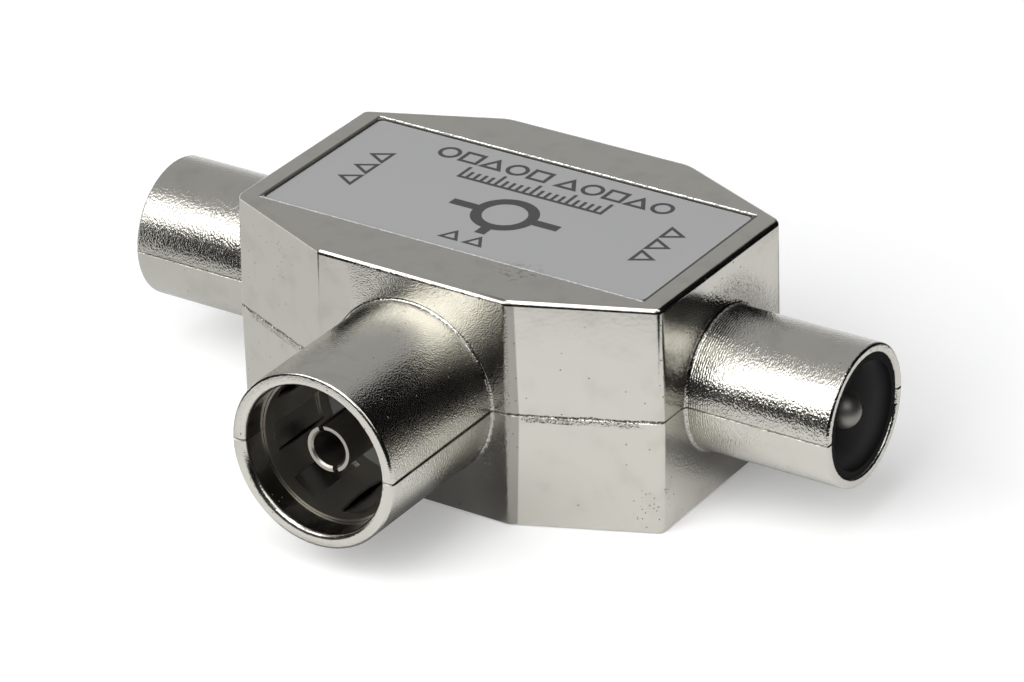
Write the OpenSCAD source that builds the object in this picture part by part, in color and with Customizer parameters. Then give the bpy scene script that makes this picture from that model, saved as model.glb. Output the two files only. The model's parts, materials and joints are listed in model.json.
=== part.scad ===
// Two-way aerial splitter: one socket in, two plugs out, in a die-cast body
// made of two half shells that meet on the axis of the three tubes.
// Millimetres. The origin is on the underside, below the crossing of the axes.
// X runs along the two plugs, the socket points to -Y, and Z is up.

/* [Body] */
// Length of the body along the two plugs
body_l = 32.2; // [31:0.1:36]
// Width of the body from front to back
body_w = 22.8; // [22:0.1:26]
// Height of the body
body_h = 16; // [15.4:0.1:20]
// Length of the flat stretch on the front and on the back
front_flat = 14; // [13.2:0.1:16]
// Width of the flat stretch at each end
end_flat = 14.8; // [12:0.1:16]
// Thickness of the upright walls
wall = 1.3; // [1:0.05:1.6]
// Thickness of the roof and of the floor
roof = 1.4; // [1:0.05:1.8]
// How far each wall leans in from the seam to the roof or the floor
draft = 0.1; // [0.05:0.01:0.15]
// Radius along the edges of the top
top_edge_r = 0.4; // [0.2:0.05:0.45]
// Radius along the edges of the underside
base_edge_r = 0.25; // [0.1:0.05:0.45]
// Radius of the upright edges at the front and at the ends
corner_r = 0.7; // [0.6:0.05:1]
// Radius of the two upright edges at the back
back_corner_r = 2.5; // [1:0.1:3]
// Depth of the fine groove along the seam
seam_d = 0.08; // [0.03:0.01:0.1]

/* [Socket] */
// Outer diameter of the socket tube
socket_od = 12; // [11.6:0.1:12.6]
// Thickness of the socket tube
socket_wall = 0.95; // [0.85:0.05:1.1]
// Length of the socket tube from the front face
socket_len = 11.2; // [10:0.1:14]
// Radius round the outside of the socket rim
socket_rim_r = 0.2; // [0.05:0.05:0.3]
// Radius round the inside of the socket mouth
mouth_r = 0.4; // [0.2:0.05:0.6]
// Depth of the socket from its rim to the insulator
socket_depth = 8.8; // [8:0.1:9.5]
// Radius in the angle where a tube meets the body
root_r = 0.25; // [0.1:0.05:0.4]

/* [Plugs] */
// Outer diameter of each plug tube
plug_od = 9.5; // [9.4:0.05:9.6]
// Thickness of each plug tube
plug_wall = 0.65; // [0.55:0.05:0.75]
// Length of each plug tube from the end face
plug_len = 10.3; // [9:0.1:12]
// Radius round the outside of the plug rim
plug_rim_r = 0.2; // [0.05:0.05:0.25]
// Depth of each plug from its rim to the floor of its insulator
plug_depth = 8.8; // [7.5:0.1:9.2]

/* [Contacts] */
// Diameter of the plug pins
pin_d = 2.36; // [2.2:0.02:2.4]
// How far each pin tip stands behind the rim
pin_set = 0.4; // [0.2:0.1:2]
// Outer diameter of the split contact in the socket
contact_od = 3.1; // [3:0.05:3.4]
// Bore of the split contact
contact_bore_d = 2.4; // [2.3:0.02:2.5]
// How far the split contact stands behind the rim
contact_set = 1.85; // [1:0.05:3]
// Depth of the bore in the split contact
contact_bore_len = 9; // [7:0.1:9.5]
// Width of the two slots in the split contact
slot_w = 0.4; // [0.2:0.05:0.5]
// Length of the two slots in the split contact
slot_len = 6; // [4:0.1:6.8]
// How far the two slots are turned out of upright
slot_turn = 20; // [0:5:90]
// Diameter of the tails that reach in to the circuit board
tail_d = 1.2; // [0.8:0.1:1.4]
// Diameter of the collar that stops each pin in its insulator
collar_d = 3.2; // [3:0.1:3.6]
// Length of the collar that stops each pin in its insulator
collar_len = 1; // [0.6:0.1:1.1]

/* [Insulators] */
// Thickness of the liner inside each plug tube
liner_t = 0.45; // [0.3:0.05:0.6]
// How far the liner edge stands behind the plug rim
liner_set = 0.15; // [0.1:0.05:0.8]
// Thickness of the flanges behind the walls of the body
flange_t = 1.2; // [1:0.1:1.4]
// How far the flanges stand out past the insulators they belong to
flange_step = 0.7; // [0.4:0.1:0.8]
// Diameter of the hub round the split contact
hub_d = 5.2; // [4.4:0.1:5.6]
// Height of the hub round the split contact
hub_h = 1.6; // [0.8:0.1:2]
// Clearance between parts that slide into one another
fit_gap = 0.02; // [0.01:0.01:0.04]

/* [Ground spring] */
// Thickness of the spring sheet
spring_t = 0.15; // [0.1:0.01:0.18]
// How far the spring stands behind the socket rim
spring_set = 2; // [1.5:0.1:3]
// Width of the closed bands at the two ends of the spring
spring_band = 0.9; // [0.6:0.1:1.2]
// How far the blades bow in towards the plug
spring_bow = 0.2; // [0:0.02:0.24]
// Number of blades
blades = 8; // [6:1:12]
// Width of the slot between two blades
blade_gap = 1.9; // [0.8:0.1:2.2]

/* [Label] */
// Length of the recess in the top
recess_l = 28.8; // [26:0.1:29]
// Width of the recess in the top
recess_w = 13.8; // [12:0.1:14]
// Depth of the recess in the top
recess_d = 0.3; // [0.2:0.05:0.4]
// Radius of the corners of the recess
recess_r = 0.5; // [0.2:0.1:1]
// Thickness of the label plate
label_t = 0.16; // [0.1:0.02:0.2]
// Clearance round the label plate
label_gap = 0.12; // [0.05:0.01:0.2]

/* [Inside of the body] */
// Thickness of the ribs that trap the flanges
saddle_t = 1; // [0.8:0.1:1.2]
// Radius of the notch in those ribs
saddle_r = 2.2; // [1.8:0.1:2.6]
// Radius of the bosses that join the two shells
boss_r = 1.9; // [1.7:0.1:2]
// Radius of the pegs pressed into the bosses
peg_r = 0.9; // [0.7:0.05:1]
// Length of the pegs
peg_len = 3; // [2:0.1:4]
// Radius of the posts that clamp the circuit board
post_r = 1; // [0.8:0.1:1.2]
// Thickness of the circuit board
board_t = 1; // [0.8:0.1:1.6]
// Clearance round the circuit board
board_gap = 0.4; // [0.3:0.05:0.6]
// How far the posts stand in from the corners of the circuit board
post_inset = 1.5; // [1.2:0.1:2]
// How far the tails reach in over the middle of the circuit board
tail_reach = 1.9; // [1.4:0.1:2.2]

/* [Splitting network] */
// Clearance between neighbours on the circuit board
part_gap = 0.5; // [0.3:0.05:0.7]
// Radius of the ball that each solder dome is a cap of
solder_r = 1.5; // [1.3:0.1:1.7]
// Height of each solder dome
solder_h = 0.6; // [0.4:0.05:0.8]
// Width of the two-hole ferrite cores
core_w = 4.2; // [3.8:0.1:4.4]
// Height of the two-hole ferrite cores
core_h = 2.4; // [2.2:0.1:2.6]
// Length of the two-hole ferrite cores
core_len = 2.6; // [2.2:0.1:3]
// Radius of the holes in the ferrite cores
core_hole_r = 0.55; // [0.5:0.05:0.6]
// Diameter of the winding wire
wire_d = 0.34; // [0.26:0.02:0.36]
// Radius at which the wire bends round the ends of a core
wire_bend_r = 0.4; // [0.3:0.05:0.6]
// Turns on the matching transformer
matching_turns = 3; // [2:1:3]
// Turns on the splitting transformer
hybrid_turns = 2; // [1:1:3]
// Length of the balance resistor
resistor_l = 2; // [1.6:0.1:2.4]
// Width of the balance resistor
resistor_w = 1.25; // [0.8:0.05:1.6]
// Height of the balance resistor
resistor_h = 0.55; // [0.4:0.05:0.8]
// Length of the trim capacitor
capacitor_l = 1.6; // [1.2:0.1:2]
// Width of the trim capacitor
capacitor_w = 0.9; // [0.6:0.1:1.2]
// Height of the trim capacitor
capacitor_h = 0.8; // [0.5:0.1:1]

/* [Hidden] */
$fn = 64;
hull_fn = 32;
fillet_steps = 4;
cut = 1;

axis_z = body_h / 2;
half_l = body_l / 2;
half_w = body_w / 2;
half_h = body_h / 2;
cavity_h = half_h - roof;
end_in = half_l - wall;
front_in = half_w - wall;
socket_bore_d = socket_od - 2 * socket_wall;
plug_bore_d = plug_od - 2 * plug_wall;
plug_reach = half_l + plug_len;
socket_reach = half_w + socket_len;
plug_floor = plug_reach - plug_depth;
socket_floor = socket_reach - socket_depth;

// The slanted wall between the front flat and an end flat: its run, its
// outward normal and its distance from the middle of the body
slant_run = [half_l - front_flat / 2, half_w - end_flat / 2];
slant_n = [slant_run[1], slant_run[0]] / norm(slant_run);
slant_out = slant_n * [half_l, end_flat / 2];

// The ribs that trap the flanges leave this much room between them
saddle_x = end_in - flange_t - saddle_t;
saddle_y = front_in - flange_t - saddle_t;
boss_sink = 0.2;
boss_x = saddle_x - boss_r;
boss_y = (slant_out - wall - boss_r + boss_sink - slant_n[0] * boss_x) / slant_n[1];

board_top = axis_z - tail_d / 2;
board_bottom = board_top - board_t;
board_main = [boss_x - boss_r - board_gap, saddle_y - board_gap];
board_arm = [saddle_x - board_gap, boss_y - boss_r - board_gap];
post_at = board_main - [post_inset, post_inset];

tail_in = board_main - [tail_reach, tail_reach];
solder_at = tail_in + [tail_d, tail_d] / 2;
dome_r = sqrt(solder_r * solder_r - (solder_r - solder_h) * (solder_r - solder_h));

// The two transformers follow one another behind the input, and the two
// chips lie beside them, clear of the outputs
hole_pitch = core_w / 2;
turn_half = core_len / 2 + wire_bend_r;
winding_half = turn_half + wire_d / 2;
matching_y = -solder_at[1] + dome_r + part_gap + winding_half;
hybrid_y = matching_y + 2 * winding_half + part_gap;
resistor_at = [-(core_w + resistor_w) / 2 - part_gap, dome_r + part_gap + resistor_l / 2];
capacitor_at = [(core_w + capacitor_l) / 2 + part_gap, matching_y];

zinc = "#c9c5bd";
nickel = "#d8d4cb";
black_plastic = "#28282a";
label_grey = "#9f9f9f";
board_green = "#2f5d3a";
ferrite = "#3a3836";
enamel = "#a5512b";
resistor_black = "#2b2c30";
capacitor_tan = "#b08d63";
tin = "#b9bbbd";

// The eight upright edges: centre of the round and its radius
function corner_centre(p, n1, n2, r) = p - r * (n1 + n2) / (1 + n1 * n2);
function edge_row(side, r) = [
    for (s = [-1, 1])
        [corner_centre([s * front_flat / 2, side * half_w], [0, side],
                       [s * slant_n[0], side * slant_n[1]], r), r]
];
function end_row(side) = [
    for (s = [-1, 1])
        [corner_centre([s * half_l, side * end_flat / 2], [s, 0],
                       [s * slant_n[0], side * slant_n[1]], corner_r), corner_r]
];
corners = concat(edge_row(-1, corner_r), edge_row(1, back_corner_r), end_row(-1), end_row(1));

// An upright edge of one half: groove at the seam, lean and rounded end
module corner_post(r, edge_r) {
    top_r = r - draft;
    rotate_extrude($fn = hull_fn)
        polygon(concat(
            [[0, 0], [r - seam_d, 0], [r, seam_d]],
            [for (i = [0:fillet_steps])
                [top_r - edge_r + edge_r * cos(90 * i / fillet_steps),
                 half_h - edge_r + edge_r * sin(90 * i / fillet_steps)]],
            [[0, half_h]]));
}

// One half of the outside of the body, from the seam upwards
module half_block(edge_r) {
    hull()
        for (c = corners)
            translate([c[0][0], c[0][1], 0]) corner_post(c[1], edge_r);
}

// The plan of the hollow inside the body
module cavity_plan() {
    inner_flat = front_flat / 2 - wall * (1 - slant_n[1]) / slant_n[0];
    inner_end = end_flat / 2 - wall * (1 - slant_n[0]) / slant_n[1];
    polygon([
        [inner_flat, -front_in], [end_in, -inner_end], [end_in, inner_end], [inner_flat, front_in],
        [-inner_flat, front_in], [-end_in, inner_end], [-end_in, -inner_end], [-inner_flat, -front_in],
    ]);
}

// What rounds a corner that points to +X and +Y
module corner_cut(r) {
    difference() {
        square(r);
        circle(r);
    }
}

// A tube of the body along Z, with its rim at the far end
module cast_tube(start, reach, face, od, id, rim_r, inner_r) {
    rotate_extrude() {
        difference() {
            translate([id / 2, start]) square([(od - id) / 2, reach - start]);
            translate([od / 2 - rim_r, reach - rim_r]) corner_cut(rim_r);
            translate([id / 2 + inner_r, reach - inner_r]) mirror([1, 0]) corner_cut(inner_r);
        }
        difference() {
            translate([od / 2 - root_r / 2, face - wall / 2]) square([root_r * 1.5, root_r + wall / 2]);
            translate([od / 2 + root_r, face + root_r]) circle(root_r);
        }
    }
}

// The three axes: each child is drawn along Z and laid along its tube
module along_right() {
    rotate([0, 90, 0]) children();
}
module along_left() {
    rotate([0, -90, 0]) children();
}
module along_front() {
    rotate([90, 0, 0]) children();
}

// The three tubes about the crossing of their axes
module tubes() {
    along_right() cast_tube(end_in, plug_reach, half_l, plug_od, plug_bore_d, plug_rim_r, plug_rim_r);
    along_left() cast_tube(end_in, plug_reach, half_l, plug_od, plug_bore_d, plug_rim_r, plug_rim_r);
    along_front() cast_tube(front_in, socket_reach, half_w, socket_od, socket_bore_d, socket_rim_r, mouth_r);
}

// The fine groove along the seam on both sides of a tube and across its rim
module seam_groove(od, face, reach) {
    side = seam_d * sqrt(2);
    for (s = [-1, 1])
        translate([s * od / 2, 0, (face + reach) / 2])
            rotate([0, 0, 45]) cube([side, side, reach - face + cut], center = true);
    translate([0, 0, reach])
        rotate([45, 0, 0]) cube([od + cut, side, side], center = true);
}

// Everything that is cut out of both halves
module bores() {
    for (turn = [0, 180])
        rotate([0, 0, turn]) along_right()
            translate([0, 0, end_in - cut]) cylinder(d = plug_bore_d, h = wall + 2 * cut);
    along_front() translate([0, 0, front_in - cut]) cylinder(d = socket_bore_d, h = wall + 2 * cut);
    along_right() rotate([0, 0, 90]) seam_groove(plug_od, half_l, plug_reach);
    along_left() rotate([0, 0, 90]) seam_groove(plug_od, half_l, plug_reach);
    along_front() seam_groove(socket_od, half_w, socket_reach);
}

// The ribs that trap the flanges, with a notch for the tail
module saddle(at, half_width) {
    difference() {
        translate([-half_width, -cut, at]) cube([2 * half_width, cavity_h + 2 * cut, saddle_t]);
        translate([0, 0, at - cut]) cylinder(r = saddle_r, h = saddle_t + 2 * cut);
    }
}

// The ribs and bosses inside one half
module ribs_and_bosses() {
    rib_half = plug_bore_d / 2 + flange_step;
    along_right() rotate([0, 0, 90]) saddle(saddle_x, rib_half);
    along_left() rotate([0, 0, -90]) saddle(saddle_x, rib_half);
    along_front() saddle(saddle_y, rib_half);
    for (sx = [-1, 1], sy = [-1, 1])
        translate([sx * boss_x, sy * boss_y, 0]) cylinder(r = boss_r, h = cavity_h + cut);
}

// The posts that reach the circuit board from one half
module board_posts(foot) {
    for (sx = [-1, 1], sy = [-1, 1])
        translate([sx * post_at[0], sy * post_at[1], foot])
            cylinder(r = post_r, h = cavity_h + roof / 2 - foot);
}

// One half of the casting, drawn upwards from the seam
module half_shell(edge_r, post_foot) {
    difference() {
        union() {
            difference() {
                union() {
                    half_block(edge_r);
                    intersection() {
                        tubes();
                        translate([-plug_reach - cut, -socket_reach - cut, 0])
                            cube([2 * plug_reach + 2 * cut, socket_reach + half_w + cut, half_h]);
                    }
                }
                translate([0, 0, -cut]) linear_extrude(cavity_h + cut) cavity_plan();
            }
            intersection() {
                ribs_and_bosses();
                linear_extrude(cavity_h + roof / 2) cavity_plan();
            }
            board_posts(post_foot);
        }
        bores();
    }
}

module rounded_plate(l, w, r, h) {
    linear_extrude(h) {
        square([l - 2 * r, w], center = true);
        square([l, w - 2 * r], center = true);
        for (sx = [-1, 1], sy = [-1, 1])
            translate([sx * (l / 2 - r), sy * (w / 2 - r)]) circle(r);
    }
}

module at_bosses() {
    for (sx = [-1, 1], sy = [-1, 1])
        translate([sx * boss_x, sy * boss_y, axis_z]) children();
}

module upper_shell() {
    tip = peg_r / 3;
    color(zinc) {
        difference() {
            translate([0, 0, axis_z]) half_shell(top_edge_r, board_top - axis_z);
            translate([0, 0, body_h - recess_d]) rounded_plate(recess_l, recess_w, recess_r, cut);
        }
        at_bosses() mirror([0, 0, 1]) {
            translate([0, 0, -cut]) cylinder(r = peg_r, h = peg_len - tip + cut);
            translate([0, 0, peg_len - tip]) cylinder(r1 = peg_r, r2 = peg_r - tip, h = tip);
        }
    }
}

module lower_shell() {
    color(zinc)
        difference() {
            translate([0, 0, axis_z]) mirror([0, 0, 1])
                half_shell(base_edge_r, axis_z - board_bottom);
            at_bosses() translate([0, 0, -peg_len - fit_gap]) cylinder(r = peg_r + fit_gap, h = peg_len + cut);
        }
}

module label_plate() {
    color(label_grey)
        translate([0, 0, body_h - recess_d])
            rounded_plate(recess_l - 2 * label_gap, recess_w - 2 * label_gap, recess_r - label_gap, label_t);
}

// The rolled sheet with blades between two closed bands
module input_ground_spring() {
    outer = socket_bore_d / 2 - fit_gap;
    foot = socket_floor;
    head = socket_reach - spring_set;
    bend = spring_band + (head - foot - 2 * spring_band) / 3;
    side = [[outer, foot], [outer, foot + spring_band], [outer - spring_bow, foot + bend],
            [outer - spring_bow, head - bend], [outer, head - spring_band], [outer, head]];
    inner_side = [for (i = [len(side) - 1:-1:0]) side[i] - [spring_t, 0]];
    color(nickel)
        translate([0, 0, axis_z]) along_front() difference() {
            rotate_extrude() polygon(concat(side, inner_side));
            for (i = [0:blades - 1])
                rotate([0, 0, (i + 0.25) * 360 / blades])
                    translate([outer / 2, -blade_gap / 2, foot + spring_band])
                        cube([outer, blade_gap, head - foot - 2 * spring_band]);
        }
}

module input_insulator() {
    body_r = socket_bore_d / 2 - fit_gap;
    hub_chamfer = 0.2;
    back = front_in - flange_t;
    color(black_plastic)
        translate([0, 0, axis_z]) along_front() rotate_extrude()
            polygon([
                [collar_d / 2 + fit_gap, back], [body_r + flange_step, back],
                [body_r + flange_step, front_in], [body_r, front_in], [body_r, socket_floor],
                [hub_d / 2, socket_floor], [hub_d / 2, socket_floor + hub_h - hub_chamfer],
                [hub_d / 2 - hub_chamfer, socket_floor + hub_h], [contact_od / 2 + fit_gap, socket_floor + hub_h],
                [contact_od / 2 + fit_gap, back + collar_len], [collar_d / 2 + fit_gap, back + collar_len],
            ]);
}

// The split tube that takes a pin, with its collar and its tail
module input_contact() {
    front = socket_reach - contact_set;
    back = front_in - flange_t;
    lead_in = 0.12;
    color(nickel)
        translate([0, 0, axis_z]) along_front() difference() {
            rotate_extrude() polygon([
                [0, tail_in[1]], [tail_d / 2, tail_in[1]], [tail_d / 2, back],
                [collar_d / 2, back], [collar_d / 2, back + collar_len],
                [contact_od / 2, back + collar_len], [contact_od / 2, front],
                [contact_bore_d / 2 + lead_in, front], [contact_bore_d / 2, front - lead_in],
                [contact_bore_d / 2, front - contact_bore_len], [0, front - contact_bore_len],
            ]);
            rotate([0, 0, slot_turn]) translate([-slot_w / 2, -contact_od, front - slot_len])
                cube([slot_w, 2 * contact_od, slot_len + cut]);
        }
}

// The liner, floor and flange of one plug, along its axis
module plug_insulator() {
    body_r = plug_bore_d / 2 - fit_gap;
    back = end_in - flange_t;
    rotate_extrude() polygon([
        [collar_d / 2 + fit_gap, back], [body_r + flange_step, back],
        [body_r + flange_step, end_in], [body_r, end_in], [body_r, plug_reach - liner_set],
        [body_r - liner_t, plug_reach - liner_set], [body_r - liner_t, plug_floor],
        [pin_d / 2 + fit_gap, plug_floor],
        [pin_d / 2 + fit_gap, back + collar_len], [collar_d / 2 + fit_gap, back + collar_len],
    ]);
}

// A pin with a domed tip, its collar and its tail, along its axis
module plug_pin() {
    back = end_in - flange_t;
    tip = plug_reach - pin_set;
    rotate_extrude() {
        polygon([
            [0, tail_in[0]], [tail_d / 2, tail_in[0]], [tail_d / 2, back],
            [collar_d / 2, back], [collar_d / 2, back + collar_len],
            [pin_d / 2, back + collar_len], [pin_d / 2, tip - pin_d / 2], [0, tip - pin_d / 2],
        ]);
        translate([0, tip - pin_d / 2]) intersection() {
            circle(d = pin_d);
            square(pin_d);
        }
    }
}

module output_left_insulator() {
    color(black_plastic) translate([0, 0, axis_z]) along_left() plug_insulator();
}
module output_right_insulator() {
    color(black_plastic) translate([0, 0, axis_z]) along_right() plug_insulator();
}
module output_left_pin() {
    color(nickel) translate([0, 0, axis_z]) along_left() plug_pin();
}
module output_right_pin() {
    color(nickel) translate([0, 0, axis_z]) along_right() plug_pin();
}

module circuit_board() {
    color(board_green)
        translate([0, 0, board_bottom]) linear_extrude(board_t) {
            square(2 * board_main, center = true);
            square(2 * board_arm, center = true);
        }
}

// A ferrite block with two holes, standing on the board
module two_hole_core() {
    translate([0, core_len / 2, core_h / 2]) rotate([90, 0, 0]) linear_extrude(core_len)
        difference() {
            union() {
                square([core_w - core_h, core_h], center = true);
                for (s = [-1, 1]) translate([s * (core_w - core_h) / 2, 0]) circle(d = core_h);
            }
            for (s = [-1, 1]) translate([s * hole_pitch / 2, 0]) circle(core_hole_r);
        }
}

// One turn of wire: straight runs with a bend at each of the four corners
module wire_turn() {
    corner = [hole_pitch / 2, turn_half] - [wire_bend_r, wire_bend_r];
    for (s = [-1, 1]) {
        translate([s * hole_pitch / 2, 0, 0])
            rotate([90, 0, 0]) cylinder(d = wire_d, h = 2 * corner[1], center = true);
        translate([0, s * turn_half, 0])
            rotate([0, 90, 0]) cylinder(d = wire_d, h = 2 * corner[0], center = true);
    }
    for (i = [0:3])
        translate([corner[0] * (i == 0 || i == 3 ? 1 : -1), corner[1] * (i < 2 ? 1 : -1), 0])
            rotate([0, 0, 90 * i]) rotate_extrude(angle = 90) translate([wire_bend_r, 0]) circle(d = wire_d);
}

// Turns through both holes of a core, with a lead down to the board at each end
module core_winding(turns) {
    pitch = wire_d * 0.9;
    for (i = [0:turns - 1])
        translate([0, 0, core_h / 2 + (i - (turns - 1) / 2) * pitch]) wire_turn();
    for (s = [-1, 1])
        translate([0, s * turn_half, 0]) cylinder(d = wire_d, h = core_h / 2);
}

module matching_core() {
    color(ferrite) translate([0, matching_y, board_top]) two_hole_core();
}
module matching_winding() {
    color(enamel) translate([0, matching_y, board_top]) core_winding(matching_turns);
}
module hybrid_core() {
    color(ferrite) translate([0, hybrid_y, board_top]) two_hole_core();
}
module hybrid_winding() {
    color(enamel) translate([0, hybrid_y, board_top]) core_winding(hybrid_turns);
}

// A chip along X that lies on the board: a block between two end caps
module chip(l, w, h) {
    cap_len = l / 5;
    inset = h / 16;
    translate([0, 0, h / 2]) {
        cube([l, w - 2 * inset, h - 2 * inset], center = true);
        for (s = [-1, 1])
            translate([s * (l - cap_len) / 2, 0, 0]) cube([cap_len, w, h], center = true);
    }
}

module balance_resistor() {
    color(resistor_black)
        translate([resistor_at[0], resistor_at[1], board_top])
            rotate([0, 0, 90]) chip(resistor_l, resistor_w, resistor_h);
}
module trim_capacitor() {
    color(capacitor_tan)
        translate([capacitor_at[0], capacitor_at[1], board_top])
            chip(capacitor_l, capacitor_w, capacitor_h);
}

// A dome of solder on the board
module solder_dome() {
    intersection() {
        translate([0, 0, solder_h - solder_r]) sphere(solder_r);
        translate([-solder_r, -solder_r, 0]) cube(2 * solder_r);
    }
}

module input_solder() {
    color(tin) difference() {
        translate([0, -solder_at[1], board_top]) solder_dome();
        input_contact();
    }
}
module output_left_solder() {
    color(tin) difference() {
        translate([-solder_at[0], 0, board_top]) solder_dome();
        output_left_pin();
    }
}
module output_right_solder() {
    color(tin) difference() {
        translate([solder_at[0], 0, board_top]) solder_dome();
        output_right_pin();
    }
}

upper_shell();
lower_shell();
label_plate();
input_ground_spring();
input_insulator();
input_contact();
output_left_insulator();
output_left_pin();
output_right_insulator();
output_right_pin();
circuit_board();
matching_core();
matching_winding();
hybrid_core();
hybrid_winding();
balance_resistor();
trim_capacitor();
input_solder();
output_left_solder();
output_right_solder();
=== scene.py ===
"""A two-way aerial splitter in nickel-plated die-cast zinc, seen from its front right.

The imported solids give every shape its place. This script dresses them: it smooths the
shown ones, prints the label and gives each piece its finish, with the seam, the grain of
the mould, the flash and the marks on the casting.
"""
import json
import math
from types import SimpleNamespace

import bmesh
import bpy
from mathutils import Matrix, Vector


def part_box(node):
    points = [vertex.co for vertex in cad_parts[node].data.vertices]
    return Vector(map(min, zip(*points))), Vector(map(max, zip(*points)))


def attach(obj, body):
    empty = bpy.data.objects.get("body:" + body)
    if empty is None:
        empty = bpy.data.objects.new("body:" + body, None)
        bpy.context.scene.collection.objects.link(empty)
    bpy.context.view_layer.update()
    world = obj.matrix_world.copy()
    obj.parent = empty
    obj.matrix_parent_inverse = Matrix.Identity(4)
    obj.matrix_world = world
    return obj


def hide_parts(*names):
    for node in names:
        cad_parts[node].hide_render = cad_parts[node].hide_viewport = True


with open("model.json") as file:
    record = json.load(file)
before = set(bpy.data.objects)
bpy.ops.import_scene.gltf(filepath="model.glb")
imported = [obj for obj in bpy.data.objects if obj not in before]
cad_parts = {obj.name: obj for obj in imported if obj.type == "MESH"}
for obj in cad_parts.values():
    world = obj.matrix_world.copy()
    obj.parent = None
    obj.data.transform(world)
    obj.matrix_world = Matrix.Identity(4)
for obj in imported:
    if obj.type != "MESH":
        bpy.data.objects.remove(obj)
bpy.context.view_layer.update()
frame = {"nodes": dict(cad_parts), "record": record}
bpy.ops.object.select_all(action="DESELECT")

MM = 0.001

# The camera, as fitted to the photograph
CAMERA_AZIMUTH = 33.143
CAMERA_ELEVATION = 27.706
CAMERA_ROLL = -1.102
CAMERA_DISTANCE = 353.043 * MM
CAMERA_AIM = Vector((0.182, 0, 6.252)) * MM
CAMERA_LENS = 191.316
SENSOR_WIDTH = 36

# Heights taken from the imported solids, in millimetres
SEAM_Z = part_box("lower_shell")[1].z / MM
LABEL_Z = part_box("label_plate")[1].z / MM
BODY_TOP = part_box("upper_shell")[1].z / MM

# Sizes of the casting that the finish follows, in millimetres
END_X = 16.1
FRONT_Y = 11.4
FRONT_HALF = 7.0
RECESS_X = 14.4
RECESS_Y = 6.9
PLUG_R = 4.75
PLUG_RIM_X = 26.4
SOCKET_R = 6.0
SOCKET_BORE_R = 5.05
SOCKET_RIM_Y = 22.6

# The mould's grain in millimetres, drawn about twice as wide as the real sparks' craters so
# that it shows, and the real pitch of the turning marks at its plugs
PLUG_GRAIN = 0.1
SOCKET_GRAIN = 0.11
TURNING_PITCH = 0.17
# The length of a wave texture's bands at a scale of one
WAVE_LENGTH = 0.314

# Marks on the casting: how far the seam rises on the front slants, the pits' cell in
# millimetres with the least chance of one and what a cluster adds to it, and where they are
SEAM_RISE = 0.06
PITS = [(0.7, 1.06, 0.0), (0.24, 1.75, 0.75)]
PIT_CLUSTERS = [(-11.1, -9.6, 13.3), (15.3, -7.75, 2.0)]
RUB_AT = (5.6, -7.4, BODY_TOP)

NICKEL = "#c1bfb7"
# Dark brown for real stains and rubs, and for painted shade on the plated zinc
STAIN_AND_SHADE = "#4b4540"
INK = "#3c3c3d"
WHITE_CARD = "#f2f2f2"

# The print is laid on the label a little proud, in millimetres
INK_LIFT = 0.003
INK_THICK = 0.004

# The table's glow and the black flag on it, in metres
TABLE_SIZE = 6
TABLE_GLOW = 0.22
CARD_SIZE = 0.16
CARD_LIFT = 0.00005
FLAG_R = 0.05
FLAG_H = 0.026
FLAG_OPEN_SIDE = Vector((-0.75, 0.66))

# Fields on the card on the table: from and to in X and Y, soft edge, shade
CARD_FIELDS = [
    ((-4.5, 5.5), (-24, -9), 2.5, 0.28),
    ((16, 24), (3, 34), 4.5, 0.44),
    ((-66, -20), (-34, 12), 8, 0.72),
]
# Directions in which the room differs from its grey: where, from and to what nearness, shade
ROOM_GREY = "#bcbcbd"
ROOM_FIELDS = [
    (Vector((-0.484, 0.875, 0.03)), 0.985, 0.998, "#f4f4f4"),
    (Vector((0.60, 0.74, 0.32)), 0.8, 0.9, "#141414"),
    (Vector((0.97, 0, 0.24)), 0.36, 0.54, "#141414"),
]
# Softboxes: azimuth right of the front, elevation, distance, width, height, brightness
SOFTBOXES = [
    ("key_front_left", -18, 35, 0.6, 0.68, 0.46, 3.35),
    ("fill_right", 62, 48, 0.7, 0.4, 0.4, 1.8),
    ("fill_above_front", 10, 68, 0.7, 0.35, 0.35, 2.6),
]

SMOOTH = {"interpolation_type": "SMOOTHSTEP"}
SLOTS = {row["node"]: row["material_slot"] for row in frame["record"]["subparts"]}


def linear(hex_colour):
    """An sRGB hex colour as linear red, green, blue and alpha."""
    parts = [int(hex_colour[i:i + 2], 16) / 255 for i in (1, 3, 5)]
    return [c / 12.92 if c <= 0.04045 else ((c + 0.055) / 1.055) ** 2.4 for c in parts] + [1.0]


def node(tree, kind, *inputs, out=0, **given):
    """Adds a shader node and returns one of its outputs.

    Its inputs come in order, or by name with a capital; a small name is one of its settings.
    A socket is linked, and any other value is set.
    """
    made = tree.nodes.new("ShaderNode" + kind)
    wanted = list(enumerate(inputs))
    for name, value in given.items():
        if name[0].islower():
            setattr(made, name, value)
        else:
            wanted.append((name.replace("_", " "), value))
    for key, value in wanted:
        if isinstance(value, bpy.types.NodeSocket):
            tree.links.new(value, made.inputs[key])
        else:
            made.inputs[key].default_value = value
    return made.outputs[out] if made.outputs else made


def product(tree, *values):
    """Several values multiplied."""
    result = values[0]
    for value in values[1:]:
        result = node(tree, "Math", result, value, operation="MULTIPLY")
    return result


def greatest(tree, *values):
    """The greatest of several values."""
    result = values[0]
    for value in values[1:]:
        result = node(tree, "Math", result, value, operation="MAXIMUM")
    return result


def across(tree, first, second):
    """The distance that two values at right angles make."""
    total = node(tree, "Math", product(tree, first, first), product(tree, second, second),
                 operation="ADD")
    return node(tree, "Math", total, operation="SQRT")


def line(tree, value, centre, half, soft):
    """One where a value is within half of a centre, fading to nothing over soft."""
    off = node(tree, "Math", value, centre, operation="SUBTRACT")
    off = node(tree, "Math", off, operation="ABSOLUTE")
    return node(tree, "MapRange", off, half, half + soft, 1.0, 0.0, **SMOOTH)


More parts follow.
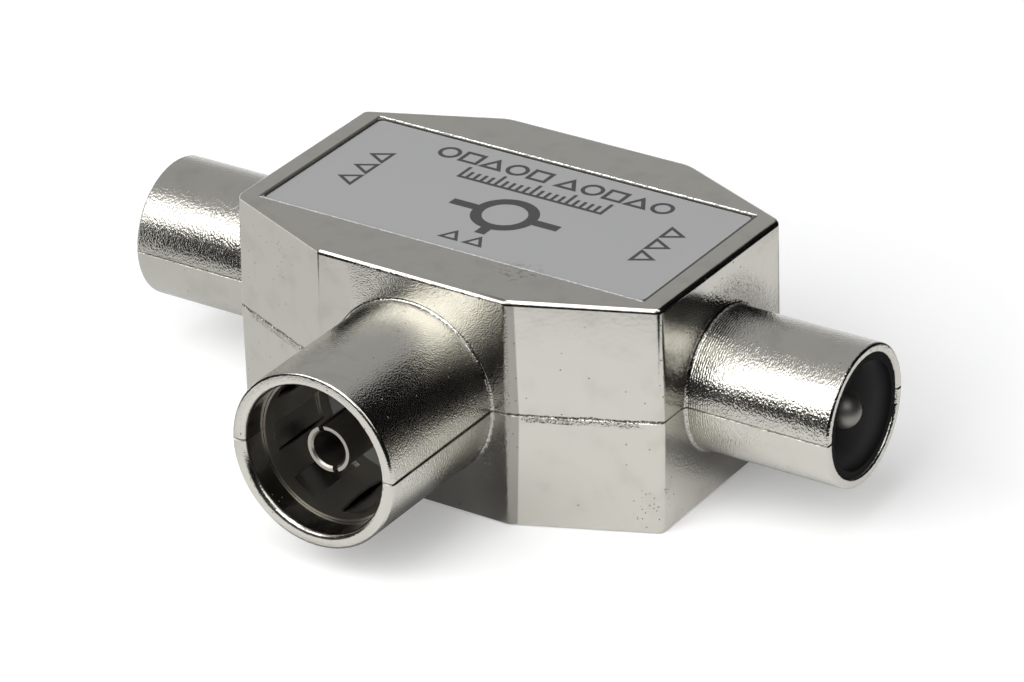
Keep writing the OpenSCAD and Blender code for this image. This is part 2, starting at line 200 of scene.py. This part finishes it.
def stretch_of(tree, value, low, high, soft):
    """One between low and high, fading to nothing over soft."""
    return line(tree, value, (low + high) / 2, (high - low) / 2, soft)


def speckle(tree, place, size_mm, detail=1.0, stretch=(1, 1, 1)):
    """Noise with features of a size in millimetres, longer along an axis by its stretch."""
    scaled = node(tree, "Mapping", Vector=place, Scale=[1 / (size_mm * s) for s in stretch])
    return node(tree, "TexNoise", Vector=scaled, Scale=1.0, Detail=detail)


def wander(tree, place, size_mm, swing_mm):
    """A smooth value that wanders about nothing by up to a swing in millimetres."""
    off = node(tree, "Math", speckle(tree, place, size_mm, 2.0), 0.5, operation="SUBTRACT")
    return product(tree, off, 2 * swing_mm)


def new_material(name):
    """An empty material, its tree, its shader and the object coordinates in millimetres."""
    material = bpy.data.materials.new(name)
    material.use_nodes = True
    tree = material.node_tree
    shader = tree.nodes["Principled BSDF"]
    place = node(tree, "VectorMath", node(tree, "TexCoord", out="Object"), operation="SCALE",
                 Scale=1 / MM)
    return material, tree, shader, place


def rub(tree, place):
    """A dark rub across the front rim and the edge of the label."""
    away = node(tree, "VectorMath", place, RUB_AT, operation="DISTANCE", out="Value")
    return product(tree, node(tree, "MapRange", away, 0.5, 2.2, 1.0, 0.0, **SMOOTH),
                   node(tree, "MapRange", speckle(tree, place, 0.4, 3.0), 0.5, 0.65, **SMOOTH))


def matt_foil():
    """Rolled foil with a matt face: silver grey from any side, with the end of the rub on it."""
    material, tree, shader, place = new_material("matt_foil")
    colour = node(tree, "Mix", data_type="RGBA", Factor=product(tree, rub(tree, place), 0.5),
                  A=linear("#9f9f9f"), B=linear(STAIN_AND_SHADE), out="Result")
    face = node(tree, "Bump", Height=speckle(tree, place, 0.3, 2.0), Distance=0.004 * MM,
                Strength=1.0)
    tree.links.new(colour, shader.inputs["Base Color"])
    tree.links.new(face, shader.inputs["Normal"])
    shader.inputs["Roughness"].default_value = 0.55
    return material


def casting_zones(tree, place):
    """Where a point is on the casting: distances in millimetres, and masks from 0 to 1."""
    axes = node(tree, "SeparateXYZ", place).node.outputs
    at = SimpleNamespace(x=axes["X"], y=axes["Y"])
    at.side_x = node(tree, "Math", axes["X"], operation="ABSOLUTE")
    at.side_y = node(tree, "Math", axes["Y"], operation="ABSOLUTE")
    at.front_y = product(tree, axes["Y"], -1.0)
    at.above = node(tree, "Math", axes["Z"], SEAM_Z, operation="SUBTRACT")
    at.from_plug = across(tree, at.side_y, at.above)
    at.from_socket = across(tree, at.side_x, at.above)

    # Flats at the ends and the front, and the top
    at.end = line(tree, at.side_x, END_X - 0.05, 0.09, 0.02)
    at.front = line(tree, at.front_y, FRONT_Y - 0.15, 0.18, 0.05)
    at.top = node(tree, "MapRange", axes["Z"], BODY_TOP - 0.05, BODY_TOP - 0.02, **SMOOTH)
    at.front_slant = product(
        tree, node(tree, "MapRange", at.side_x, FRONT_HALF, FRONT_HALF + 0.2, **SMOOTH),
        node(tree, "MapRange", at.side_x, END_X - 0.1, END_X, 1.0, 0.0, **SMOOTH),
        node(tree, "MapRange", at.front_y, 6.0, 6.5, **SMOOTH))

    # Grainy parts: the tubes and the flats that they leave, less so further out, at the
    # socket's rim and left of the socket, and not at all in its bore
    at.bore = product(
        tree, node(tree, "MapRange", at.from_socket, SOCKET_BORE_R + 0.02, SOCKET_BORE_R + 0.1,
                   1.0, 0.0, **SMOOTH),
        stretch_of(tree, at.front_y, FRONT_Y + 1, SOCKET_RIM_Y - 0.45, 0.2))
    smooth_left = product(
        tree, at.front, node(tree, "MapRange", axes["X"], -5.2, -3.4, 0.95, 0.0, **SMOOTH))
    at.plug = product(
        tree, node(tree, "MapRange", at.side_x, END_X - 0.2, END_X - 0.12, **SMOOTH),
        node(tree, "MapRange", at.from_plug, 6.0, 7.8, 1.0, 0.03, **SMOOTH))
    at.socket = product(
        tree, node(tree, "MapRange", at.front_y, FRONT_Y - 0.2, FRONT_Y - 0.12, **SMOOTH),
        node(tree, "MapRange", at.front_y, SOCKET_RIM_Y - 0.5, SOCKET_RIM_Y - 0.15, 1.0, 0.4,
             **SMOOTH),
        node(tree, "Math", 1.0, greatest(tree, smooth_left, at.bore), operation="SUBTRACT"))
    return at


def mould_grain(tree, place, at):
    """The swell of the casting, its polish, the mould's grain and its turning marks."""
    marks = node(tree, "TexWave", bands_direction="X", Vector=place,
                 Scale=WAVE_LENGTH / TURNING_PITCH, Distortion=1.6, out="Fac")
    near_root = stretch_of(tree, at.side_x, END_X + 0.2, END_X + 1.4, 1.0)
    normal = node(tree, "Bump", Height=speckle(tree, place, 2.6), Distance=0.016 * MM,
                  Strength=1.0)
    # The grain is drawn a little round the plugs
    for height, depth_mm, where in (
            (speckle(tree, place, 0.3, 2.0), 0.005, 1.0),
            (speckle(tree, place, PLUG_GRAIN, 1.0, (1, 1.7, 1.7)), 0.034, at.plug),
            (speckle(tree, place, SOCKET_GRAIN, 1.0), 0.026, at.socket),
            (marks, 0.007, near_root)):
        normal = node(tree, "Bump", Height=height, Distance=depth_mm * MM, Strength=where,
                      Normal=normal)
    return normal


def seam_and_flash(tree, place, at, normal):
    """A fine dark line that comes and goes, with bright crumbs of flash beside it.

    Gives the normal with the crumbs, the seam, and the grime among the crumbs.
    """
    shift = node(tree, "Math", wander(tree, place, 1.6, 0.14), SEAM_RISE, operation="ADD")
    seam_at = node(tree, "Math", wander(tree, place, 3.0, 0.03),
                   product(tree, shift, at.front_slant), operation="ADD")
    crumbs = speckle(tree, place, 0.16, 1.5)
    wider = greatest(tree, product(tree, at.socket, 0.55), product(tree, at.front_slant, 0.35))
    off = product(tree, node(tree, "Math", at.above, seam_at, operation="SUBTRACT"),
                  node(tree, "Math", 1.0, wider, operation="SUBTRACT"))
    covered = product(tree, crumbs, at.front_slant)
    seam = product(
        tree, line(tree, off, 0.0, 0.045, 0.035),
        node(tree, "MapRange", speckle(tree, place, 1.1, 2.0), 0.3, 0.42, 0.6, 1.0, **SMOOTH),
        node(tree, "MapRange", covered, 0.5, 0.56, 1.0, 0.15, **SMOOTH))

    # Crumbs along the seam of the front slants, and a wider patch under it
    just_under = node(tree, "Math", seam_at, 0.04, operation="SUBTRACT")
    beside = line(tree, at.above, just_under, 0.07, 0.07)
    further_under = node(tree, "Math", seam_at, -0.26, operation="ADD")
    flake = product(tree, at.front_slant, stretch_of(tree, at.side_x, 8.6, 14.2, 1.2),
                    line(tree, at.above, further_under, 0.16, 0.16))
    rough = greatest(tree, product(tree, beside, at.front_slant), product(tree, flake, 0.8))
    normal = node(tree, "Bump", Height=crumbs, Distance=0.13 * MM, Strength=rough,
                  Normal=normal)
    flake_dirt = product(
        tree, flake, node(tree, "MapRange", crumbs, 0.42, 0.5, 0.5, 0.0, **SMOOTH))
    return normal, seam, flake_dirt


def gas_pits(tree, place):
    """Pits about 0.1 mm across, some loose and some close together in two clusters."""
    spots = []
    for cell_mm, least, crowd in PITS:
        cells = node(tree, "TexVoronoi", Vector=place, Scale=1 / cell_mm).node.outputs
        chance = node(tree, "Math", node(tree, "SeparateColor", cells["Color"], out="Red"),
                      speckle(tree, place, 4.0 * cell_mm), operation="ADD")
        for centre in PIT_CLUSTERS if crowd else ():
            away = node(tree, "VectorMath", place, centre, operation="DISTANCE", out="Value")
            nearer = node(tree, "MapRange", away, 0.3, 2.4, crowd, 0.0, **SMOOTH)
            chance = node(tree, "Math", chance, nearer, operation="ADD")
        chosen = node(tree, "Math", chance, least, operation="GREATER_THAN")
        off = product(tree, cells["Distance"], cell_mm)
        spot = node(tree, "MapRange", off, 0.03, 0.065, 1.0, 0.0, **SMOOTH)
        spots.append(product(tree, chosen, spot))
    return greatest(tree, *spots)


def recess_lip(tree, place, at, normal):
    """The lip of the recess, ragged and rolled at the front and back, with painted shade at the
    ends.

    Gives the normal with the roll, a painted highlight line along it, and the painted shade at
    the ends.
    """
    ragged_y = node(tree, "Math", at.side_y, wander(tree, place, 0.28, 0.09), operation="ADD")
    within_x = node(tree, "MapRange", at.side_x, RECESS_X, RECESS_X + 0.1, 1.0, 0.0, **SMOOTH)
    within_y = node(tree, "MapRange", at.side_y, RECESS_Y, RECESS_Y + 0.1, 1.0, 0.0, **SMOOTH)
    # A painted highlight: a white, broken line along the lip at the front and back
    painted_lip_highlight = product(
        tree, line(tree, ragged_y, RECESS_Y + 0.07, 0.03, 0.08), at.top,
        node(tree, "MapRange", speckle(tree, place, 0.5, 2.0), 0.34, 0.46, 0.35, 1.0,
             **SMOOTH), within_x)
    shaded = product(tree, line(tree, at.side_x, RECESS_X + 0.05, 0.06, 0.1), at.top, within_y)
    roll = node(tree, "MapRange", ragged_y, RECESS_Y, RECESS_Y + 0.15, **SMOOTH)
    within = product(tree, at.top, within_x)
    at_back = node(tree, "Math", at.y, 0.0, operation="GREATER_THAN")
    for depth_mm, where in ((0.035, within), (0.1, product(tree, within, at_back))):
        normal = node(tree, "Bump", Height=roll, Distance=depth_mm * MM, Strength=where,
                      Normal=normal)
    return normal, painted_lip_highlight, shaded


def root_angles(tree, place, at):
    """A thin broken line of painted shade in the angle between each tube and the body."""
    at_plug = product(
        tree, line(tree, at.side_x, END_X + 0.12, 0.04, 0.04),
        node(tree, "MapRange", at.from_plug, PLUG_R + 0.3, PLUG_R + 0.4, 1.0, 0.0, **SMOOTH))
    at_socket = product(
        tree, line(tree, at.front_y, FRONT_Y + 0.12, 0.04, 0.04),
        node(tree, "MapRange", at.from_socket, SOCKET_R + 0.3, SOCKET_R + 0.4, 1.0, 0.0,
             **SMOOTH))
    broken = node(tree, "MapRange", speckle(tree, place, 0.2, 2.0), 0.42, 0.58, 0.6, 0.1,
                  **SMOOTH)
    return product(tree, greatest(tree, at_plug, at_socket), broken)


def plated_zinc():
    """Nickel plate on die-cast zinc.

    The mould's spark-eroded grain shows on the tubes and the flats that they leave, where it
    breaks each reflection into sparks; the slanted walls and the rim are smooth, with pits.
    """
    material, tree, shader, place = new_material("nickel_plated_zinc")
    at = casting_zones(tree, place)
    normal = mould_grain(tree, place, at)
    normal, seam, flake_dirt = seam_and_flash(tree, place, at, normal)
    pit = gas_pits(tree, place)
    normal = node(tree, "Bump", Height=pit, Distance=-0.03 * MM, Strength=1.0, Normal=normal)
    normal, painted_lip_highlight, shaded = recess_lip(tree, place, at, normal)
    tree.links.new(normal, shader.inputs["Normal"])

    # Painted shade round the plugs' roots, right of the socket and in the tubes' angles, shaded
    # recess ends, a faint bloom in patches, dirt in the pits and the seam, the rub on the rim
    # and a darker bore
    painted_shade_near_plug = node(tree, "MapRange", at.from_plug, PLUG_R, PLUG_R + 2.4, 0.45, 0.0, **SMOOTH)
    right = node(tree, "MapRange", at.x, 4.0, 7.0, 0.0, 0.5, **SMOOTH)
    bloom = node(tree, "MapRange", speckle(tree, place, 1.8, 4.0), 0.46, 0.74, 0.0, 0.09,
                 **SMOOTH)
    dirt_and_shade = greatest(tree, product(tree, pit, 0.6), bloom, product(tree, rub(tree, place), 0.45),
                    product(tree, seam, 0.85), flake_dirt, product(tree, shaded, 0.85),
                    product(tree, at.end, painted_shade_near_plug), product(tree, at.front, right),
                    root_angles(tree, place, at), product(tree, at.bore, 0.5))
    colour = node(tree, "Mix", data_type="RGBA", Factor=dirt_and_shade, A=linear(NICKEL),
                  B=linear(STAIN_AND_SHADE), out="Result")
    # Painted highlight: the lip's line mixed towards white
    colour = node(tree, "Mix", data_type="RGBA", Factor=painted_lip_highlight, A=colour, B=linear("#ffffff"),
                  out="Result")
    tree.links.new(colour, shader.inputs["Base Color"])
    shader.inputs["Metallic"].default_value = 1.0
    shader.inputs["Roughness"].default_value = 0.17
    return material


def plain(name, colour, metallic, roughness):
    """A finish of one colour with a fine grain, 0.3 mm wide so that it shows."""
    material, tree, shader, place = new_material(name)
    grain = node(tree, "Bump", Height=speckle(tree, place, 0.3, 2.0), Distance=0.004 * MM,
                 Strength=1.0)
    tree.links.new(grain, shader.inputs["Normal"])
    shader.inputs["Base Color"].default_value = linear(colour)
    shader.inputs["Metallic"].default_value = metallic
    shader.inputs["Roughness"].default_value = roughness
    return material


def black_plastic():
    """Black moulded plastic, with painted light and shade that make it paler deep inside a
    connector than at its rim.
    """
    material, tree, shader, place = new_material("black_abs")
    axes = node(tree, "SeparateXYZ", place).node.outputs
    side_x = node(tree, "Math", axes["X"], operation="ABSOLUTE")
    at_plug = node(tree, "MapRange", side_x, PLUG_RIM_X - 1.5, PLUG_RIM_X - 0.2, **SMOOTH)
    in_socket = product(
        tree, node(tree, "MapRange", axes["Y"], -SOCKET_RIM_Y, -SOCKET_RIM_Y + 6, **SMOOTH),
        node(tree, "MapRange", side_x, 6.5, 7.0, 1.0, 0.0, **SMOOTH))
    # Painted light and shade: darkest at the plugs' rims, palest deep inside the socket
    colour = linear("#565656")
    for factor, shade in ((at_plug, "#1a1a1a"), (in_socket, "#8c8c8a")):
        colour = node(tree, "Mix", data_type="RGBA", Factor=factor, A=colour, B=linear(shade),
                      out="Result")
    tree.links.new(colour, shader.inputs["Base Color"])
    shader.inputs["Roughness"].default_value = 0.7
    shader.inputs["Specular IOR Level"].default_value = 0.06
    return material


def select_only(piece):
    """Selects one object and makes it the active one."""
    bpy.ops.object.select_all(action="DESELECT")
    piece.select_set(True)
    bpy.context.view_layer.objects.active = piece


def apply_modifiers(piece):
    """Applies every modifier of the piece in turn."""
    select_only(piece)
    for modifier in list(piece.modifiers):
        bpy.ops.object.modifier_apply(modifier=modifier.name)


def finish(piece, material):
    """Gives a piece its material and lets it ride on the body."""
    piece.data.materials.clear()
    piece.data.materials.append(material)
    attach(piece, "root")
    bpy.ops.object.select_all(action="DESELECT")


def dress(name, material, angle=30):
    """A smoothed copy of a CAD node, which then stands for it."""
    select_only(frame["nodes"][name])
    bpy.ops.object.duplicate()
    piece = bpy.context.object
    piece.name = name + "_dressed"
    for key in list(piece.keys()):
        del piece[key]
    piece.parent = None
    bpy.ops.object.mode_set(mode="EDIT")
    bpy.ops.mesh.select_all(action="SELECT")
    bpy.ops.mesh.remove_doubles(threshold=0.0005 * MM)
    bpy.ops.mesh.customdata_custom_splitnormals_clear()
    bpy.ops.object.mode_set(mode="OBJECT")
    bpy.ops.object.shade_smooth_by_angle(angle=math.radians(angle))
    even = piece.modifiers.new("even", "WEIGHTED_NORMAL")
    even.keep_sharp = True
    apply_modifiers(piece)
    finish(piece, material)
    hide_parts(name)


def outline(x, y, radius, sides, turn=0.0, stroke=0.28):
    """A ring or an outlined polygon of ink on the label, in millimetres."""
    bpy.ops.mesh.primitive_circle_add(vertices=sides, radius=radius * MM, fill_type="NGON",
                                      location=(x * MM, y * MM, (LABEL_Z + INK_LIFT) * MM),
                                      rotation=(0, 0, math.radians(turn)))
    bpy.ops.object.mode_set(mode="EDIT")
    bpy.ops.mesh.select_all(action="SELECT")
    bpy.ops.mesh.inset(thickness=stroke * MM)
    bpy.ops.mesh.delete(type="FACE")
    bpy.ops.object.mode_set(mode="OBJECT")
    return bpy.context.object


def bar(x, y, length, width):
    """A solid stroke of ink on the label, in millimetres."""
    bpy.ops.mesh.primitive_plane_add(size=1,
                                     location=(x * MM, y * MM, (LABEL_Z + INK_LIFT) * MM))
    shape = bpy.context.object
    shape.scale = (length * MM, width * MM, 1)
    return shape


def label_print(ink):
    """Plain shapes in ink where the label carries its print."""
    shapes = []
    # A row of outlined shapes along the back, in two groups
    for i in range(10):
        sides, radius, turn = ((40, 0.8, 0), (4, 1.08, 45), (3, 1.05, 0))[i % 3]
        x = -7.6 + i * 1.75 + (0.5 if i > 4 else 0)
        shapes.append(outline(x, 4.95 - (0.25 if sides == 3 else 0), radius, sides, turn))
    # A scale under it
    shapes.append(bar(0.2, 2.3, 11.05, 0.26))
    for i in range(21):
        tall = 1.35 if i % 5 == 0 else 0.8
        shapes.append(bar(-5.2 + i * 0.54, 2.44 + tall / 2, 0.24, tall))
    # Three triangles at each end, towards the two plugs
    for side in (-1, 1):
        for i in range(3):
            shapes.append(outline(side * 11.05, 0.3 + (i - 1) * 1.85, 1.05, 3, -90 * side, 0.24))
    # A ring with three stubs: the socket in front and a plug at each side
    shapes.append(outline(0.45, -0.95, 2.25, 64, 0, 0.75))
    shapes.append(bar(-2.7, -0.95, 1.82, 0.75))
    shapes.append(bar(3.6, -0.95, 1.82, 0.75))
    shapes.append(bar(0.45, -3.6, 0.75, 0.82))
    # Two small triangles at the socket, into the body
    for side in (-1, 1):
        shapes.append(outline(side * 0.9, -5.2, 0.9, 3, 0, 0.22))
    for shape in shapes:
        shape.select_set(True)
    bpy.context.view_layer.objects.active = shapes[0]
    bpy.ops.object.join()
    piece = bpy.context.object
    piece.name = "label_print"
    select_only(piece)
    bpy.ops.object.transform_apply(location=True, rotation=True, scale=True)
    thick = piece.modifiers.new("thick", "SOLIDIFY")
    thick.thickness = INK_THICK * MM
    thick.offset = 1
    apply_modifiers(piece)
    finish(piece, ink)


def camera():
    """The photograph's view."""
    az, el, roll = (math.radians(a) for a in (CAMERA_AZIMUTH, CAMERA_ELEVATION, CAMERA_ROLL))
    forward = Vector((-math.sin(az) * math.cos(el), math.cos(az) * math.cos(el), -math.sin(el)))
    level = Vector((math.cos(az), math.sin(az), 0))
    upright = level.cross(forward)
    right = math.cos(roll) * level + math.sin(roll) * upright
    up = -math.sin(roll) * level + math.cos(roll) * upright
    turn = Matrix((right, up, -forward)).transposed().to_4x4()
    bpy.ops.object.camera_add()
    eye = bpy.context.object
    eye.matrix_world = Matrix.Translation(CAMERA_AIM - forward * CAMERA_DISTANCE) @ turn
    eye.data.lens = CAMERA_LENS
    eye.data.sensor_width = SENSOR_WIDTH
    eye.data.sensor_fit = "HORIZONTAL"
    eye.data.clip_start = 0.01
    bpy.context.scene.camera = eye


def softbox(name, azimuth, elevation, distance, width, height, brightness):
    """A rectangular lamp that faces the part from an azimuth right of the front."""
    az, el = math.radians(azimuth), math.radians(elevation)
    away = Vector((math.sin(az) * math.cos(el), -math.cos(az) * math.cos(el), math.sin(el)))
    bpy.ops.object.light_add(type="AREA", location=away * distance)
    lamp = bpy.context.object
    lamp.name = name
    lamp.data.shape = "RECTANGLE"
    lamp.data.size = width
    lamp.data.size_y = height
    lamp.data.energy = brightness * math.pi * width * height
    lamp.rotation_euler = away.to_track_quat("Z", "Y").to_euler()


def table_finish(name, dim=()):
    """White card that glows a little; dim lists soft-edged fields, each with its shade."""
    material, tree, shader, place = new_material(name)
    shader.inputs["Base Color"].default_value = linear(WHITE_CARD)
    light = 1.0
    axes = node(tree, "SeparateXYZ", place).node.outputs
    for x_range, y_range, soft, shade in dim:
        field = product(tree, stretch_of(tree, axes["X"], *x_range, soft),
                        stretch_of(tree, axes["Y"], *y_range, soft))
        light = product(tree, light, node(tree, "MapRange", field, 0.0, 1.0, 1.0, shade,
                                          **SMOOTH))
    if dim:
        shades = node(tree, "Mix", data_type="RGBA", Factor=light, A=linear("#000000"),
                      B=linear(WHITE_CARD), out="Result")
        tree.links.new(shades, shader.inputs["Base Color"])
    ray = node(tree, "LightPath").node.outputs
    seen = greatest(tree, ray["Is Camera Ray"], ray["Is Glossy Ray"],
                    ray["Is Transmission Ray"])
    shader.inputs["Emission Color"].default_value = linear("#ffffff")
    tree.links.new(product(tree, seen, TABLE_GLOW, light), shader.inputs["Emission Strength"])
    shader.inputs["Roughness"].default_value = 0.9
    shader.inputs["Specular IOR Level"].default_value = 0.0
    return material


def for_metal_only(piece):
    """Makes a card show in reflections only."""
    piece.visible_camera = piece.visible_diffuse = piece.visible_shadow = False


def table():
    """A white table, with a card that deepens the shade under the socket and at both ends."""
    bpy.ops.mesh.primitive_plane_add(size=TABLE_SIZE)
    floor = bpy.context.object
    floor.name = "floor"
    floor.data.materials.append(table_finish("white_table"))

    bpy.ops.mesh.primitive_plane_add(size=CARD_SIZE, location=(0, 0, CARD_LIFT))
    card = bpy.context.object
    card.name = "shade_card"
    bpy.ops.object.transform_apply(location=True)
    card.data.materials.append(table_finish("shaded_card", CARD_FIELDS))
    for_metal_only(card)


def black_flag():
    """A low ring of black felt, open at the back left, for the dark line along the tubes."""
    bpy.ops.mesh.primitive_cylinder_add(vertices=96, radius=FLAG_R, depth=FLAG_H,
                                        end_fill_type="NOTHING", location=(0, 0, FLAG_H / 2))
    flag = bpy.context.object
    flag.name = "black_flag"
    bpy.ops.object.mode_set(mode="EDIT")
    shape = bmesh.from_edit_mesh(flag.data)
    for face in shape.faces:
        outwards = face.calc_center_median().to_2d().normalized()
        face.select_set(outwards.dot(FLAG_OPEN_SIDE) > 0.35)
    bmesh.update_edit_mesh(flag.data)
    bpy.ops.mesh.delete(type="FACE")
    bpy.ops.object.mode_set(mode="OBJECT")
    material, _tree, shader, _place = new_material("black_felt")
    shader.inputs["Base Color"].default_value = linear("#101010")
    shader.inputs["Roughness"].default_value = 1.0
    shader.inputs["Specular IOR Level"].default_value = 0.0
    flag.data.materials.append(material)
    for_metal_only(flag)


def room():
    """A grey room that is dark at the back right, with the softboxes in it."""
    world = bpy.data.worlds.new("studio")
    bpy.context.scene.world = world
    world.use_nodes = True
    tree = world.node_tree
    tree.nodes.clear()
    direction = node(tree, "TexCoord", out="Generated")
    colour = linear(ROOM_GREY)
    for side, low, high, shade in ROOM_FIELDS:
        towards = node(tree, "VectorMath", direction, side.normalized(),
                       operation="DOT_PRODUCT", out="Value")
        near = node(tree, "MapRange", towards, low, high, **SMOOTH)
        colour = node(tree, "Mix", data_type="RGBA", Factor=near, A=colour, B=linear(shade),
                      out="Result")
    node(tree, "OutputWorld", Surface=node(tree, "Background", Color=colour, Strength=1.0))
    for box in SOFTBOXES:
        softbox(*box)


bpy.context.scene.view_settings.view_transform = "Standard"
camera()
table()
black_flag()
room()

FINISHES = {
    "plated_zinc": plated_zinc(),
    "insulator": black_plastic(),
    # Turned and plated, dulled by use: a soft grey dot of light on the pins' tips
    "contact": plain("worn_nickel_plated_brass", "#8e8c87", 1.0, 0.5),
    # Rolled sheet: a broad, warm shine
    "spring": plain("nickel_plated_spring_sheet", "#a8a49b", 1.0, 0.36),
    "label": matt_foil(),
    # Printed resist over glass fibre: green and half gloss
    "board": plain("green_solder_mask", "#2f5d3a", 0.0, 0.4),
    # Pressed and fired: dark grey and quite matt
    "ferrite": plain("fired_ferrite", "#3a3836", 0.0, 0.7),
    # Clear enamel over drawn copper: red brown with a shine
    "wire": plain("enamelled_copper", "#a5512b", 0.8, 0.35),
    # Glazed black over a white body: glossy
    "resistor": plain("glazed_ceramic", "#2b2c30", 0.0, 0.3),
    # Fired and bare: tan, half matt
    "capacitor": plain("fired_ceramic", "#b08d63", 0.0, 0.5),
    # Flowed and set: bright and a little soft
    "solder": plain("bright_solder", "#b9bbbd", 1.0, 0.3),
}
# Turned and plated, cleaner than the pins: a clear bright ring at the end
bright_nickel = plain("nickel_plated_brass", "#a19e96", 1.0, 0.34)
# Black printing ink on foil: dark grey, with no gloss of its own
ink = plain("printing_ink", INK, 0.0, 0.5)
SHOWN = ["upper_shell", "lower_shell", "label_plate", "input_ground_spring", "input_insulator",
         "input_contact", "output_left_insulator", "output_left_pin",
         "output_right_insulator", "output_right_pin"]
for name, source in frame["nodes"].items():
    if name in SHOWN:
        dress(name, bright_nickel if name == "input_contact" else FINISHES[SLOTS[name]])
    else:
        source.data.materials.clear()
        source.data.materials.append(FINISHES[SLOTS[name]])
label_print(ink)
